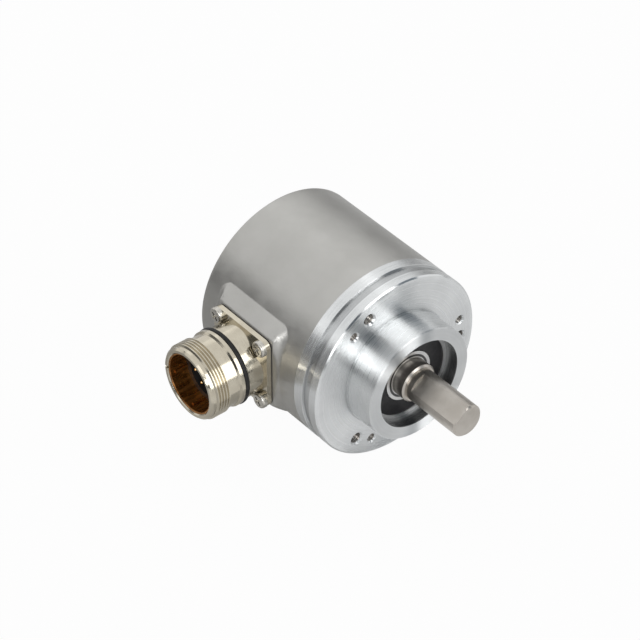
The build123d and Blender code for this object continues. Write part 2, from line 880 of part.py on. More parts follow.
def make_board(front_x, cut_y):
    """Round circuit board with a straight edge towards the connector and notches for the posts."""
    back_x = front_x - board_thickness
    board = along_x(board_r, front_x, back_x)
    board -= block((front_x + 1, back_x - 1), (-board_r - 1, cut_y), (-board_r, board_r))
    for angle in post_angles:
        y, z = ring_place(post_pitch_r, angle)
        board -= along_x(post_r + post_gap, front_x, back_x, y, z)
    for angle in pillar_angles:
        y, z = ring_place(pillar_pitch_r, angle)
        board -= along_x(screw_r + screw_clearance, front_x, back_x, y, z)
    return board


def make_pillars(front_x, back_x):
    """Round spacers for the boards, with through holes for the long screws."""
    pillars = []
    for angle in pillar_angles:
        y, z = ring_place(pillar_pitch_r, angle)
        pillar = along_x(pillar_r, front_x, back_x, y, z)
        pillars.append(pillar - along_x(screw_r + screw_clearance, front_x, back_x, y, z))
    return Compound(children=pillars)


def make_board_screws():
    """Long pan-head screws through both boards and their spacers."""
    screws = []
    head_x = output_board_back_x - board_screw_head
    for angle in pillar_angles:
        y, z = ring_place(pillar_pitch_r, angle)
        screw = along_x(screw_r, spigot_end_x, output_board_back_x, y, z)
        head = along_x(board_screw_head_r, output_board_back_x, head_x)
        head -= Pos(head_x, 0, 0) * Rot(0, 90, 0) * cross_recess()
        screws.append(screw + Pos(0, y, z) * head)
    return Compound(children=screws)


def make_bracket():
    """Bridge that reaches over the disc's edge and holds the lamp in front of the track."""
    half = bracket_width / 2
    web = block((bracket_front_x, sensor_board_x), (-half, half), (bracket_web_r, bracket_top_r))
    arm = block((bracket_front_x, bracket_arm_back_x), (-half, half), (bracket_arm_r, bracket_web_r))
    bridge = web + arm
    bridge -= along_x(lamp_r, bracket_front_x, bracket_arm_back_x, 0, lamp_circle)
    return Rot(bracket_angle - 90, 0, 0) * bridge


def make_lamp():
    """Light-emitting diode with a domed lens, held in the bracket's arm."""
    face_x = bracket_arm_back_x + lamp_face_setback
    lamp = along_x(lamp_r, bracket_front_x + lamp_setback, face_x, 0, lamp_circle)
    lamp += Pos(face_x, 0, lamp_circle) * Sphere(lamp_r / 2)
    return Rot(bracket_angle - 90, 0, 0) * lamp


def make_sensor_chip():
    """Detector array on the sensor board behind the track."""
    chip = block((sensor_board_x + chip_height, sensor_board_x), (-chip_width / 2, chip_width / 2),
                 (lamp_circle - chip_length / 2, lamp_circle + chip_length / 2))
    return Rot(bracket_angle - 90, 0, 0) * chip


def make_reticle():
    """Thin mask on the detector array."""
    front_x = sensor_board_x + chip_height + reticle_thickness
    half_width = chip_width / 2 - reticle_inset
    half_length = chip_length / 2 - reticle_inset
    plate = block((front_x, sensor_board_x + chip_height), (-half_width, half_width),
                  (lamp_circle - half_length, lamp_circle + half_length))
    return Rot(bracket_angle - 90, 0, 0) * plate


def make_header():
    """Pin header that joins the two boards."""
    return block((sensor_board_back_x, output_board_x),
                 (header_y - header_width / 2, header_y + header_width / 2),
                 (header_z - header_length / 2, header_z + header_length / 2))


def chip(y, z, width, length, height):
    """A flat package on the back of the output board."""
    middle_x = output_board_back_x - height / 2
    return Pos(middle_x, y, z) * Box(height, width, length)


def make_components():
    """Driver chip, regulator, crystal and capacitors on the back of the output board."""
    pieces = [
        chip(driver_y, driver_z, chip_width, driver_length, chip_height),
        chip(regulator_y, regulator_z, regulator_width, regulator_length, chip_height),
        chip(crystal_y, crystal_z, crystal_width, crystal_length, crystal_height),
    ]
    end_x = output_board_back_x - capacitor_height
    for y, z in capacitor_places:
        pieces.append(along_x(capacitor_r, output_board_back_x, end_x, y, z))
    return Compound(children=pieces)


def make_ribbon():
    """Flat flexible lead from the solder board to the edge of the output board."""
    start_x = connector_x + ribbon_start
    start_y = solder_board_y + solder_board_thickness + pin_tail
    inner_y = start_y + ribbon_thickness
    landing_y = output_board_cut_y + ribbon_landing
    rise_x = output_board_x + ribbon_board_gap
    outer_x = rise_x - ribbon_thickness
    band = Polyline([
        (start_x, start_y),
        (outer_x, start_y),
        (outer_x, landing_y),
        (output_board_x, landing_y),
        (output_board_x, landing_y + ribbon_thickness),
        (rise_x, landing_y + ribbon_thickness),
        (rise_x, inner_y),
        (start_x, inner_y),
    ], close=True)
    return extrude(make_face(band), ribbon_width / 2, both=True)


os.makedirs("parts", exist_ok=True)

save(make_flange(), "flange")
save(make_shaft(), "shaft")
for place, mid_x in (("front", front_bearing_x), ("rear", rear_bearing_x)):
    outer, inner, balls, cage, seals = make_bearing(mid_x)
    save(outer, f"{place}_outer_ring")
    save(inner, f"{place}_inner_ring")
    save(balls, f"{place}_balls")
    save(cage, f"{place}_cage")
    save(seals, f"{place}_seals")
save(make_wave_spring(), "wave_spring")
save(make_circlip(), "circlip")
save(make_hub(), "disc_hub")
save(make_grub_screw(), "hub_grub_screw")
save(make_code_disc(), "code_disc")
save(make_clamp_ring(), "disc_clamp_ring")
save(make_housing(), "housing")
save(make_housing_screws(), "housing_screws")
save(make_housing_posts(), "housing_posts")
save(make_housing_seal(), "housing_seal")
save(make_connector_shell(), "connector_shell")
save(make_liner(), "connector_liner")
save(make_insert(), "connector_insert")
save(make_contact_pins(), "contact_pins")
save(make_solder_board(), "solder_board")
save(make_connector_ring(), "connector_o_ring")
save(make_gasket(), "connector_gasket")
save(make_plate_screws(), "connector_screws")
save(make_board(sensor_board_x, sensor_board_cut_y), "sensor_board")
save(make_board(output_board_x, output_board_cut_y), "output_board")
save(make_pillars(spigot_end_x, sensor_board_x), "front_pillars")
save(make_pillars(sensor_board_back_x, output_board_x), "rear_pillars")
save(make_board_screws(), "board_screws")
save(make_bracket(), "lamp_bracket")
save(make_lamp(), "lamp")
save(make_sensor_chip(), "sensor_chip")
save(make_reticle(), "reticle")
save(make_header(), "board_header")
save(make_components(), "board_components")
save(make_ribbon(), "flex_ribbon")
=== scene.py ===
# %% [markdown]
# # A rotary encoder with a clamping flange
# An incremental rotary encoder turns the angle of a shaft into pulses. This lesson dresses the
# finished solids of one: a bright turned flange, a cast cover with a satin coat, a ground shaft
# on ball bearings, and a nickel-plated round connector on the side.
# All lengths are in metres. +X runs out along the shaft, the connector points along -Y, +Z is up.

# %% Load the solids
import bmesh
import bpy
from math import acos, atan2, cos, degrees, hypot, pi, radians, sin, sqrt
from mathutils import Matrix, Vector


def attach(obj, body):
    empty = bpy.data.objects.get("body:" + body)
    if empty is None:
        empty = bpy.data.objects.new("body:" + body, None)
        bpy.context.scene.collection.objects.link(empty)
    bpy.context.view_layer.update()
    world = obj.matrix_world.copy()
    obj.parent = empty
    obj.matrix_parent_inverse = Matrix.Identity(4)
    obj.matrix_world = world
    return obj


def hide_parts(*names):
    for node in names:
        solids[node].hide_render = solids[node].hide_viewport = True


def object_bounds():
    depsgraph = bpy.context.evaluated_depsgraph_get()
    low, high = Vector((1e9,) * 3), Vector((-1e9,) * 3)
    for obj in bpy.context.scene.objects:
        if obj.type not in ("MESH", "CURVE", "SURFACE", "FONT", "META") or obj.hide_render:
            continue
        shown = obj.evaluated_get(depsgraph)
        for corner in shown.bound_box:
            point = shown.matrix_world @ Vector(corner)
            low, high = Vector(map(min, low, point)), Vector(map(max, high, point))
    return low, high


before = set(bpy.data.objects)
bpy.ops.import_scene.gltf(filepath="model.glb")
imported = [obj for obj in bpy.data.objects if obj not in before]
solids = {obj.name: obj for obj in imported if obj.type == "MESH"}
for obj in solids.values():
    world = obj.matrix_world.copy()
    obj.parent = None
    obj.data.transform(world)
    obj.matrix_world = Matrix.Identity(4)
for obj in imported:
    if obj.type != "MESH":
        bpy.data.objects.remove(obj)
solid_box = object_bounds()
print("pieces loaded:", len(solids))

# %% [markdown]
# ## The camera
# The product is seen from above and from the front right, from three quarters of a metre away, with
# a long lens, so its round shapes stay almost true ellipses. A camera could be aimed by hand, but here
# its place was worked out from the ellipses of the flange, the collar and the cover. The three
# axes of the camera make the columns of its matrix.

# %% Place the camera
turn = radians(50.408)
tilt = radians(40.35)
distance = 0.762769
side_shift = -0.021105
up_shift = 0.012706
focal_pixels = 2737.5
picture_pixels = 640.0
sensor_mm = 36.0

back = Vector((sin(turn) * cos(tilt), -cos(turn) * cos(tilt), sin(tilt)))
right = Vector((cos(turn), sin(turn), 0.0))
up = back.cross(right)
camera_data = bpy.data.cameras.new("camera")
camera_data.sensor_width = sensor_mm
camera_data.lens = focal_pixels * sensor_mm / picture_pixels
camera_data.clip_start = 0.01
camera = bpy.data.objects.new("camera", camera_data)
bpy.context.scene.collection.objects.link(camera)
place = back * distance + right * side_shift + up * up_shift
rows = Matrix((right, up, back)).transposed().to_4x4()
camera.matrix_world = Matrix.Translation(place) @ rows
bpy.context.scene.camera = camera
bpy.context.scene.view_settings.view_transform = "Standard"
print("lens in mm:", round(camera_data.lens, 1))

# %% [markdown]
# ## A finish, and the parts that every finish shares
# Real metal and rubber are never one flat colour. Each finish below starts from the same helper,
# which gives the surface its main colour, and then adds three things: a slow drift of colour, a
# change of roughness from place to place, and fine relief in the normals. The texture is read in
# object coordinates, so one millimetre is one millimetre on every piece. Where a machined piece
# changes from one face to the next, a band between two lengths is roughened, or its colour is made
# darker as painted shade where a hollow, or the mirror image of a hollow, is dark.

# %% Start a finish
MM = 1000.0


def start_finish(name, metal, rough):
    """A new finish with a base metalness and roughness."""
    finish = bpy.data.materials.new(name)
    finish.use_nodes = True
    shader = finish.node_tree.nodes["Principled BSDF"]
    shader.inputs["Metallic"].default_value = metal
    shader.inputs["Roughness"].default_value = rough
    finish["shader"] = shader.name
    return finish


def add(finish, kind, **settings):
    """A new node in a finish."""
    node = finish.node_tree.nodes.new(kind)
    for key, value in settings.items():
        setattr(node, key, value)
    return node


def join(finish, start, end):
    """Links an output to an input."""
    finish.node_tree.links.new(start, end)


def shader_of(finish):
    """The node that gives the surface its look."""
    return finish.node_tree.nodes[finish["shader"]]


def place_of(finish):
    """The place on the piece, in metres from its origin."""
    return add(finish, "ShaderNodeTexCoord").outputs["Object"]


print("millimetres in a metre:", MM)

# %% Make noise, and map it to a range
def cloud(finish, size_mm, detail=4.0, stretch=None):
    """Soft noise with blobs of about size_mm, stretched along the axes if asked."""
    noise = add(finish, "ShaderNodeTexNoise")
    noise.inputs["Scale"].default_value = MM / size_mm
    noise.inputs["Detail"].default_value = detail
    where = place_of(finish)
    if stretch:
        mapping = add(finish, "ShaderNodeMapping")
        mapping.inputs["Scale"].default_value = stretch
        join(finish, where, mapping.inputs["Vector"])
        where = mapping.outputs["Vector"]
    join(finish, where, noise.inputs["Vector"])
    return noise.outputs["Fac"]


def spread(finish, value, low, high, start=0.35, end=0.65):
    """Maps the middle of a noise to the range from low to high."""
    node = add(finish, "ShaderNodeMapRange")
    node.inputs["From Min"].default_value = start
    node.inputs["From Max"].default_value = end
    node.inputs["To Min"].default_value = low
    node.inputs["To Max"].default_value = high
    join(finish, value, node.inputs["Value"])
    return node.outputs["Result"]


print("noise scale for blobs of 3 mm:", round(MM / 3))

# %% Let colour, roughness and normals vary
def drift(finish, value, dark, light, start=0.35, end=0.65):
    """Lets the base colour drift from dark to light with a noise."""
    ramp = add(finish, "ShaderNodeValToRGB")
    ramp.color_ramp.elements[0].position = start
    ramp.color_ramp.elements[1].position = end
    ramp.color_ramp.elements[0].color = (*dark, 1.0)
    ramp.color_ramp.elements[1].color = (*light, 1.0)
    join(finish, value, ramp.inputs["Fac"])
    join(finish, ramp.outputs["Color"], shader_of(finish).inputs["Base Color"])


def relief(finish, value, height_mm, strength=1.0, under=None):
    """Adds a height of that many millimetres to the normals."""
    bump = add(finish, "ShaderNodeBump")
    bump.inputs["Distance"].default_value = height_mm / MM
    bump.inputs["Strength"].default_value = strength
    join(finish, value, bump.inputs["Height"])
    if under is not None:
        join(finish, under, bump.inputs["Normal"])
    join(finish, bump.outputs["Normal"], shader_of(finish).inputs["Normal"])
    return bump.outputs["Normal"]


def uneven(finish, value, low, high):
    """Lets the roughness change between two values with a noise."""
    join(finish, spread(finish, value, low, high), shader_of(finish).inputs["Roughness"])


print("ways to vary a finish: colour, relief and roughness")

# %% Change a finish in a band
def band(finish, value, low_mm, high_mm):
    """1 where the value lies between two lengths, 0 elsewhere."""
    node = add(finish, "ShaderNodeMath", operation="COMPARE")
    join(finish, value, node.inputs[0])
    node.inputs[1].default_value = (low_mm + high_mm) / 2 / MM
    node.inputs[2].default_value = (high_mm - low_mm) / 2 / MM
    return node.outputs["Value"]


def paint_shade(finish, mask, shade):
    """Paints shade into the base colour: multiplies it by a shade where the mask is 1."""
    socket = shader_of(finish).inputs["Base Color"]
    before = socket.links[0].from_socket
    mix = add(finish, "ShaderNodeMix", data_type="RGBA", blend_type="MULTIPLY")
    first_colour, second_colour, mixed_colour = mix.inputs[6], mix.inputs[7], mix.outputs[2]
    second_colour.default_value = (shade, shade, shade, 1.0)
    join(finish, mask, mix.inputs["Factor"])
    join(finish, before, first_colour)
    join(finish, mixed_colour, socket)


def roughen(finish, mask, amount):
    """Adds to the roughness where the mask is 1."""
    socket = shader_of(finish).inputs["Roughness"]
    before = socket.links[0].from_socket
    total = add(finish, "ShaderNodeMath", operation="MULTIPLY_ADD")
    join(finish, mask, total.inputs[0])
    total.inputs[1].default_value = amount
    join(finish, before, total.inputs[2])
    join(finish, total.outputs["Value"], socket)


print("ways to change a band: darker and rougher")

# %% [markdown]
# ## Turned aluminium
# The flange and its collar are turned on a lathe and left bare. The tool leaves rings too fine to
# see one by one, and they pull each highlight out at a right angle to the rings, which gives the
# fan of light and dark on the face. That could be drawn as a pattern, but the true cause is easy
# to set: anisotropic gloss, with a tangent that runs round the shaft axis. The clamping groove and
# the bore wall get painted shade, a darker colour for the shade in these hollows; the rim is
# smoother and the end of the collar is rougher.

# %% Make the turned aluminium
def along_and_out(finish):
    """The place along the shaft axis and the distance from it."""
    split = add(finish, "ShaderNodeSeparateXYZ")
    join(finish, place_of(finish), split.inputs["Vector"])
    flat = add(finish, "ShaderNodeCombineXYZ")
    join(finish, split.outputs["Y"], flat.inputs["Y"])
    join(finish, split.outputs["Z"], flat.inputs["Z"])
    length = add(finish, "ShaderNodeVectorMath", operation="LENGTH")
    join(finish, flat.outputs["Vector"], length.inputs[0])
    return split.outputs["X"], length.outputs["Value"]


def rings_about_shaft(finish, spacing_mm):
    """A value that rises and falls with the distance from the shaft axis and along it."""
    along, out = along_and_out(finish)
    total = add(finish, "ShaderNodeMath", operation="ADD")
    join(finish, out, total.inputs[0])
    join(finish, along, total.inputs[1])
    noise = add(finish, "ShaderNodeTexNoise", noise_dimensions="1D")
    noise.inputs["Scale"].default_value = MM / spacing_mm
    noise.inputs["Detail"].default_value = 3.0
    join(finish, total.outputs["Value"], noise.inputs["W"])
    return noise.outputs["Fac"]


def pull_highlights(finish, amount):
    """Anisotropic gloss with the highlight drawn out across the turning marks."""
    shader = shader_of(finish)
    shader.inputs["Anisotropic"].default_value = amount
    shader.inputs["Anisotropic Rotation"].default_value = 0.25
    tangent = add(finish, "ShaderNodeTangent", direction_type="RADIAL", axis="X")
    join(finish, tangent.outputs["Tangent"], shader.inputs["Tangent"])


turned = start_finish("turned_aluminium", 1.0, 0.20)
drift(turned, cloud(turned, 9.0), (0.68, 0.695, 0.70), (0.75, 0.765, 0.77))
uneven(turned, rings_about_shaft(turned, 0.5), 0.27, 0.34)
relief(turned, rings_about_shaft(turned, 0.22), 0.0025)
pull_highlights(turned, 1.0)
groove_shade_x = (-5.95, -3.05)
rim_r = (27.9, 29.1)
collar_end_x = (9.7, 10.3)
bore_wall_r = (13.4, 14.06)
along, out = along_and_out(turned)
# Painted shade: the clamping groove's colour is made darker for the shade between its walls.
paint_shade(turned, band(turned, along, *groove_shade_x), 0.70)
roughen(turned, band(turned, out, *rim_r), -0.08)
roughen(turned, band(turned, along, *collar_end_x), 0.15)
# Painted shade: the bore wall's colour is made darker for the shade in the collar's hollow; it is also
# made smoother.
bore_shade_and_gloss = band(turned, out, *bore_wall_r)
paint_shade(turned, bore_shade_and_gloss, 0.38)
roughen(turned, bore_shade_and_gloss, -0.10)
print("finish:", turned.name)

# %% [markdown]
# ## Tapped threads
# A tap leaves a torn surface that catches light in small spots, so the threads get coarse relief,
# not a copy of the turned finish. Their colour is far darker than the aluminium, as painted shade
# for the inside of the holes.

# %% Make the tapped finish
tapped = start_finish("tapped_thread", 1.0, 0.30)
# Painted shade: the threads' colour is kept far darker than the turned aluminium, for the shade inside
# the holes.
drift(tapped, cloud(tapped, 1.5), (0.16, 0.145, 0.13), (0.34, 0.33, 0.31))
uneven(tapped, cloud(tapped, 0.5), 0.22, 0.36)
relief(tapped, cloud(tapped, 0.2, 2.0), 0.006)
print("finish:", tapped.name)

# %% [markdown]
# ## Coated casting
# The cover is die-cast, blasted and coated with a thin silver-grey lacquer. It keeps a faint
# orange-peel texture and hides the metal's shine under a satin coat. A mostly metallic base with
# a middling roughness comes close to such a pigment, and two sizes of noise give the grain and
# the peel.

# %% Make the coated casting
coated = start_finish("coated_casting", 0.85, 0.38)
drift(coated, cloud(coated, 14.0, 5.0), (0.455, 0.45, 0.43), (0.495, 0.49, 0.47))
uneven(coated, cloud(coated, 3.0), 0.34, 0.42)
peel = relief(coated, cloud(coated, 1.1, 2.0), 0.02)
relief(coated, cloud(coated, 0.18, 2.0), 0.005, under=peel)
print("finish:", coated.name)

# %% [markdown]
# ## Ground stainless steel
# The shaft is ground, so its marks run round it as on the flange but are much finer, and the
# steel is warmer and darker than aluminium. The same helpers serve, with less height and less pull.

# %% Make the ground steel
ground = start_finish("ground_steel", 1.0, 0.30)
drift(ground, cloud(ground, 5.0), (0.44, 0.41, 0.37), (0.52, 0.49, 0.45))
uneven(ground, cloud(ground, 2.0, detail=2.0), 0.30, 0.35)
relief(ground, rings_about_shaft(ground, 0.20), 0.0008)
pull_highlights(ground, 0.4)
print("finish:", ground.name)

# %% [markdown]
# ## Bearing steel and polished balls
# Bearing rings are hardened, ground and lapped, so they are brighter and smoother than the shaft.
# The face of the inner ring mirrors the dark hollow of the collar, so a dark band is painted
# into its colour as a painted reflection. The balls are polished and need hardly any roughness.

# %% Make the bearing steels
lapped = start_finish("lapped_steel", 1.0, 0.18)
drift(lapped, cloud(lapped, 3.0), (0.60, 0.60, 0.60), (0.70, 0.70, 0.69))
uneven(lapped, rings_about_shaft(lapped, 0.3), 0.15, 0.25)
pull_highlights(lapped, 0.5)
painted_reflection_r = (6.25, 6.95)
ring_face_r = (5.9, 14.1)
out = along_and_out(lapped)[1]
# Painted reflection: a dark band in the ring face's colour stands for the mirrored dark hollow.
paint_shade(lapped, band(lapped, out, *painted_reflection_r), 0.12)
roughen(lapped, band(lapped, out, *ring_face_r), 0.15)
polished = start_finish("polished_balls", 1.0, 0.05)
drift(polished, cloud(polished, 2.0), (0.74, 0.74, 0.74), (0.80, 0.80, 0.80))
uneven(polished, cloud(polished, 1.0), 0.04, 0.09)
print("finishes:", lapped.name, polished.name)

# %% [markdown]
# ## Nickel plate
# The connector shell is turned brass with bright nickel on top. Nickel reflects a warm, slightly
# yellow light, most of all beside cold aluminium, and the plate follows the turning marks under it.

# %% Make the nickel plate
def rings_about_connector(finish, spacing_mm):
    """Noise that changes only along the connector, as the turning marks on it do."""
    split = add(finish, "ShaderNodeSeparateXYZ")
    join(finish, place_of(finish), split.inputs["Vector"])
    noise = add(finish, "ShaderNodeTexNoise", noise_dimensions="1D")
    noise.inputs["Scale"].default_value = MM / spacing_mm
    noise.inputs["Detail"].default_value = 3.0
    join(finish, split.outputs["Y"], noise.inputs["W"])
    return noise.outputs["Fac"]


nickel = start_finish("nickel_plate", 1.0, 0.14)
drift(nickel, cloud(nickel, 4.0), (0.52, 0.475, 0.385), (0.60, 0.555, 0.455))
uneven(nickel, rings_about_connector(nickel, 0.4), 0.10, 0.20)
relief(nickel, rings_about_connector(nickel, 0.25), 0.003)
print("finish:", nickel.name)

# %% [markdown]
# ## Rubber
# The bearing seals, the O-rings and the gasket are black rubber. It is not quite black: dust and
# bloom lighten it here and there, and it shines only a little.

# %% Make the rubbers
def make_rubber(name, dark, light, rough):
    """A dull, dusty rubber."""
    rubber = start_finish(name, 0.0, rough)
    drift(rubber, cloud(rubber, 2.5), dark, light)
    uneven(rubber, cloud(rubber, 0.8), rough - 0.06, rough + 0.08)
    relief(rubber, cloud(rubber, 0.15, 2.0), 0.008)
    shader_of(rubber).inputs["Specular IOR Level"].default_value = 0.28
    return rubber


seal_rubber = make_rubber("seal_rubber", (0.016, 0.016, 0.018), (0.030, 0.029, 0.031), 0.42)
ring_rubber = make_rubber("ring_rubber", (0.014, 0.014, 0.014), (0.027, 0.026, 0.025), 0.50)
print("finishes:", seal_rubber.name, ring_rubber.name)

# %% [markdown]
# ## Plated screws, spring steel, the etched disc and the bronze sleeve
# Small steel parts are bright zinc or plain rolled steel. The strip is rolled, so its faint marks
# run one way, and the plated screws are a little uneven because they were tumbled in a barrel.
# Brass posts and gilt pins come from the same helper, with other colours. The sleeve in the
# connector's mouth is tarnished bronze, streaked along its length, so its noise is stretched
# along Y.

# %% Make the small steels
def make_steel(name, dark, light, low, high, stretch=None):
    """A bare or plated metal with a roughness from low to high."""
    steel = start_finish(name, 1.0, low)
    drift(steel, cloud(steel, 2.0, stretch=stretch), dark, light)
    uneven(steel, cloud(steel, 0.5, stretch=stretch), low, high)
    relief(steel, cloud(steel, 0.25, 2.0, stretch), 0.004)
    return steel


plated = make_steel("zinc_plate", (0.50, 0.48, 0.44), (0.60, 0.58, 0.53), 0.20, 0.34)
spring = make_steel("spring_steel", (0.38, 0.38, 0.40), (0.48, 0.48, 0.50), 0.25, 0.38, (1, 1, 5))
etched = make_steel("etched_disc", (0.55, 0.56, 0.57), (0.63, 0.64, 0.65), 0.16, 0.28)
brass = make_steel("turned_brass", (0.62, 0.44, 0.18), (0.74, 0.56, 0.27), 0.22, 0.34)
gold = make_steel("gold_contact", (0.80, 0.60, 0.30), (0.90, 0.72, 0.40), 0.14, 0.24)
print("finishes:", plated.name, spring.name, etched.name, brass.name, gold.name)

# %% Make the tarnished bronze
bronze = start_finish("tarnished_bronze", 0.9, 0.30)
tarnish = cloud(bronze, 1.2, stretch=(1.0, 0.12, 1.0))
drift(bronze, tarnish, (0.26, 0.10, 0.018), (0.56, 0.25, 0.065))
uneven(bronze, cloud(bronze, 0.8, stretch=(1.0, 0.2, 1.0)), 0.24, 0.38)
relief(bronze, cloud(bronze, 0.5, 2.0, (1.0, 0.15, 1.0)), 0.004)
print("finish:", bronze.name)

# %% [markdown]
# ## Plastics, boards and the lamp
# The insert, the bracket and the chips are black mouldings with a fine spark-eroded grain. The
# boards have a green solder mask over glass cloth, whose weave shows as a faint relief.

# %% Make the mouldings
def make_moulding(name, dark, light, rough):
    """A moulded plastic with a fine spark-eroded grain."""
    moulding = start_finish(name, 0.0, rough)
    drift(moulding, cloud(moulding, 3.0), dark, light)
    uneven(moulding, cloud(moulding, 0.6), rough - 0.05, rough + 0.07)
    relief(moulding, cloud(moulding, 0.12, 2.0), 0.006)
    return moulding


insulator = make_moulding("insulator", (0.018, 0.018, 0.020), (0.032, 0.032, 0.034), 0.42)
bracket_black = make_moulding("bracket_moulding", (0.028, 0.028, 0.030), (0.045, 0.045, 0.047), 0.50)
chip_black = make_moulding("chip_moulding", (0.022, 0.022, 0.025), (0.038, 0.038, 0.040), 0.55)
cage_natural = make_moulding("cage_polyamide", (0.60, 0.53, 0.38), (0.70, 0.64, 0.50), 0.48)
amber_film = make_moulding("amber_film", (0.42, 0.20, 0.03), (0.52, 0.27, 0.05), 0.25)
red_lens = make_moulding("red_lens", (0.30, 0.03, 0.03), (0.42, 0.05, 0.05), 0.12)
print("mouldings made: 6")

# %% Make the boards and the mask glass
def weave(finish, pitch_mm):
    """Two crossed sine waves, as in the glass cloth of a circuit board."""
    total = add(finish, "ShaderNodeMath", operation="ADD")
    for slot_number, direction in enumerate(("Y", "Z")):
        wave = add(finish, "ShaderNodeTexWave", bands_direction=direction)
        wave.inputs["Scale"].default_value = MM / pitch_mm / (2 * pi)
        join(finish, place_of(finish), wave.inputs["Vector"])
        join(finish, wave.outputs["Fac"], total.inputs[slot_number])
    return total.outputs["Value"]


board_green = start_finish("board_mask", 0.0, 0.30)
drift(board_green, cloud(board_green, 6.0), (0.010, 0.085, 0.035), (0.018, 0.125, 0.055))
uneven(board_green, cloud(board_green, 1.0), 0.26, 0.38)
relief(board_green, weave(board_green, 0.6), 0.01)
mask_glass = start_finish("mask_glass", 0.0, 0.06)
drift(mask_glass, cloud(mask_glass, 1.0), (0.30, 0.34, 0.34), (0.42, 0.46, 0.46))
uneven(mask_glass, cloud(mask_glass, 0.8), 0.05, 0.10)
print("finishes:", board_green.name, mask_glass.name)

# %% [markdown]
# ## The cast cover, drawn as one height field
# On the real casting the connector boss flows out of the round wall: its corners are well
# rounded and it meets the wall in a soft hollow. The solid has exact but harder edges there, so
# the cover gets a finer skin, whose radius follows from a rule for every angle and every place
# along the shaft. Two heights take part: the lift of the boss's face and ramps, and the rise of
# its flanks out of a hollow. A plain smaller-of the two would make an edge. A mean that leans to
# the smaller one makes a rounded corner instead, and so does a smaller-of that eases over.

# %% Name the sizes of the cover, in mm
wall_r = 29.0
cover_front_x = -9.25
cover_back_x = -51.2
boss_x = -30.56
boss_face = 29.15
boss_half = 12.2
boss_high = 12.1
ramp_run = 9.0
ramp_rise = 6.84
ramp_turn = atan2(ramp_run, ramp_rise)
ramp_distance = (boss_face * ramp_rise + boss_high * ramp_run) / hypot(ramp_run, ramp_rise)
ramp_ends = ramp_turn - acos(ramp_distance / wall_r)
hollow_r = 3.0
flank_steepness = 3.0
foot_corner_r = 4.0
face_ease = 0.5
corner_power = 1.8
print("the ramps end at, in degrees from -Y:", round(degrees(ramp_ends), 1))

# %% The rule for the boss
def smooth_min(a, b, ease):
    """The smaller of two values, eased over where they are close."""
    share = max(0.0, min(1.0, 0.5 + 0.5 * (b - a) / ease))
    return b + (a - b) * share - ease * share * (1.0 - share)


def hollow_rise(beside):
    """Height of the flank above the wall, at a distance from the hollow's foot."""
    if beside < hollow_r:
        return hollow_r - sqrt(hollow_r ** 2 - beside ** 2)
    return hollow_r + flank_steepness * (beside - hollow_r)


def boss_height(angle, x):
    """How far the boss stands out of the round wall, in mm, at an angle from -Y.

    beside and below tell how far a place lies in from the foot's outline, along the shaft and
    round it. Near a corner of the foot, both give way to the distance from a rounded outline.
    """
    side = abs(angle)
    beside = boss_half + hollow_r - abs(x - boss_x)
    below = wall_r * (ramp_ends - side)
    if beside <= 0.0 or below <= 0.0:
        return 0.0
    ramp = ramp_distance / cos(min(side, ramp_turn) - ramp_turn)
    lift = smooth_min(boss_face / cos(side), ramp, face_ease) - wall_r
    flank = hollow_rise(beside)
    if beside < foot_corner_r and below < foot_corner_r:
        span = hypot(foot_corner_r - beside, foot_corner_r - below)
        if span >= foot_corner_r:
            return 0.0
        flank = hollow_rise(foot_corner_r - span) * (span / (foot_corner_r - beside)) ** 2
    if lift <= 0.0 or flank <= 0.0:
        return 0.0
    return (lift ** -corner_power + flank ** -corner_power) ** (-1.0 / corner_power)


print("boss height at the plate's corner in mm:", round(boss_height(radians(18), boss_x + 9), 2))

# %% Helpers for grids of points
def spaced(spans):
    """Even steps through spans of (start, end, step), finer where the shape needs it."""
    values = []
    for start, end, step in spans:
        count = max(1, round(abs(end - start) / step))
        values += [start + (end - start) * k / count for k in range(count)]
    return values


def object_from(name, points, faces):
    """An object of quads, in mm, with doubled points joined and normals turned outwards."""
    mesh = bpy.data.meshes.new(name)
    mesh.from_pydata([(x / MM, y / MM, z / MM) for x, y, z in points], [], faces)
    work = bmesh.new()
    work.from_mesh(mesh)
    bmesh.ops.remove_doubles(work, verts=work.verts, dist=1e-7)
    bmesh.ops.recalc_face_normals(work, faces=work.faces)
    work.to_mesh(mesh)
    work.free()
    piece = bpy.data.objects.new(name, mesh)
    bpy.context.scene.collection.objects.link(piece)
    return piece


def rings_joined(rings, around):
    """Faces between rings of points, each ring closed and followed by the next."""
    faces = []
    for ring in range(rings - 1):
        for k in range(around):
            a = ring * around + k
            b = ring * around + (k + 1) % around
            faces.append((a, b, b + around, a + around))
    return faces


print("steps from 0 to 1, without the end:", spaced(((0, 1, 0.25),)))

# %% Build the cover from its bore, its skin and its back
edge_r = 0.8
edge_steps = 6
bore_r = 26.65
floor_x = -48.7
back_ring_r = 12.0
boss_angle_spans = ((-180, -46, 3.0), (-46, -12, 0.4), (-12, 12, 1.5), (12, 46, 0.4), (46, 180, 3.0))
edge_start = cover_front_x - cover_back_x - edge_r
length_spans = (
    (0, 4.6, 1.2), (4.6, 12.2, 0.17), (12.2, 30.4, 1.3), (30.4, 38.0, 0.17), (38.0, edge_start, 1.0))
angles = [radians(degree) for degree in spaced(boss_angle_spans)]
outline = [(floor_x, 0.0), (floor_x, bore_r), (cover_front_x, bore_r)]
outline += [(cover_front_x - gone, None) for gone in spaced(length_spans)]
for k in range(edge_steps + 1):
    bend = radians(90 * k / edge_steps)
    edge_x = cover_back_x + edge_r - edge_r * sin(bend)
    outline.append((edge_x, wall_r - edge_r + edge_r * cos(bend)))
outline += [(cover_back_x, back_ring_r), (cover_back_x, 0.0)]
points = []
